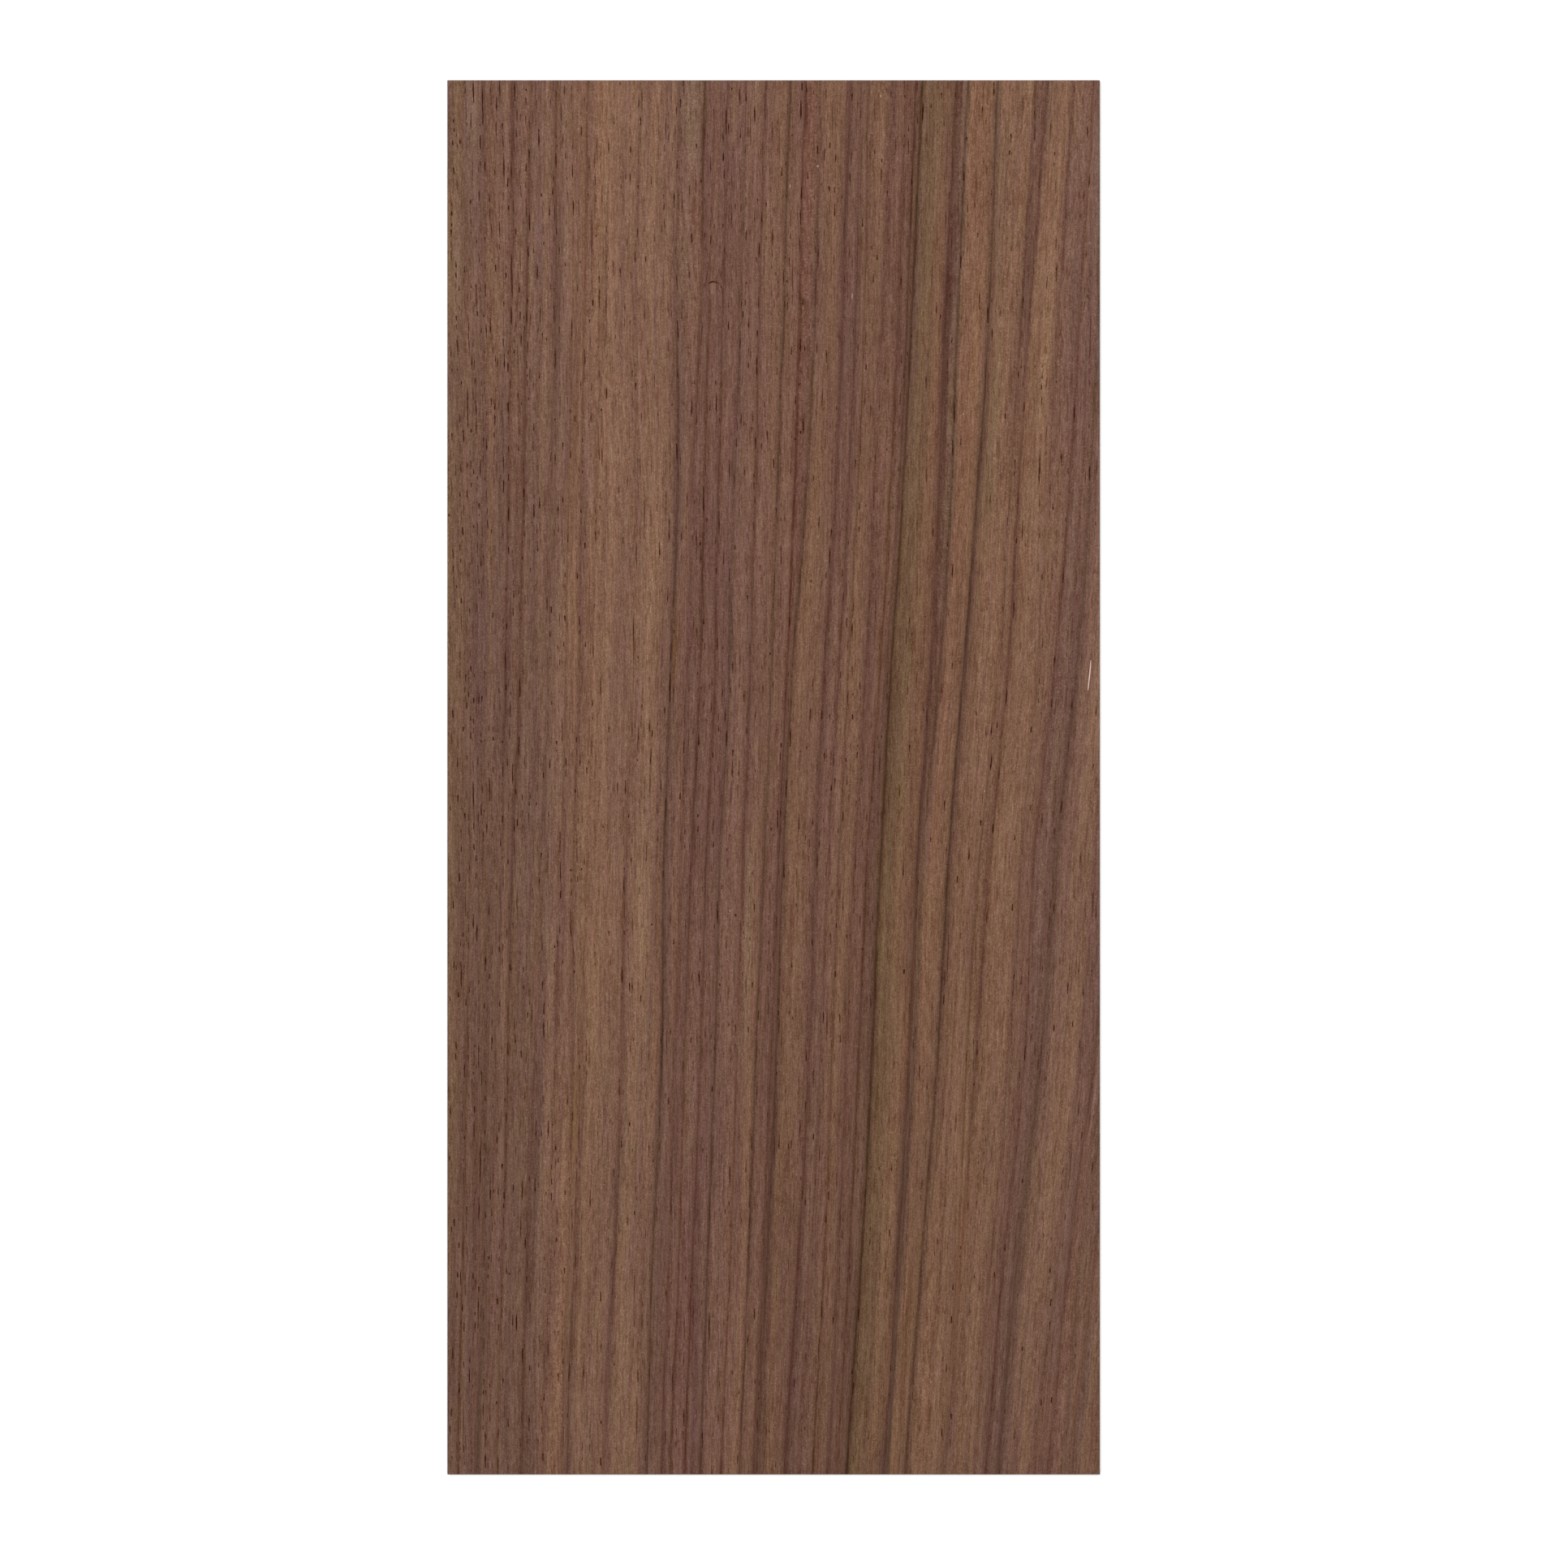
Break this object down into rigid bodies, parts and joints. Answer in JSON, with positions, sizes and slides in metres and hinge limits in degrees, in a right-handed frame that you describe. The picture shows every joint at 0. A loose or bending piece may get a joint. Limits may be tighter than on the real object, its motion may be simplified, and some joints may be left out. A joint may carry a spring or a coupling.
{
  "type": "wood veneer sheet",
  "caption": "Flat rectangular sheet of thin straight-grained walnut veneer, glued face down on a panel to give it a wood surface.",
  "frame": {"origin": "middle of the loose (glue) face, which the sheet lies on", "axes": "+Z out of the show face, +Y along the grain and the sheet's length, +X across the grain"},
  "size_m": [0.1404, 0.3, 0.0006],
  "materials": {
    "raw_walnut": "matte"
  },
  "bodies": {
    "root": {"veneer_sheet": "raw_walnut"}
  },
  "joints": []
}
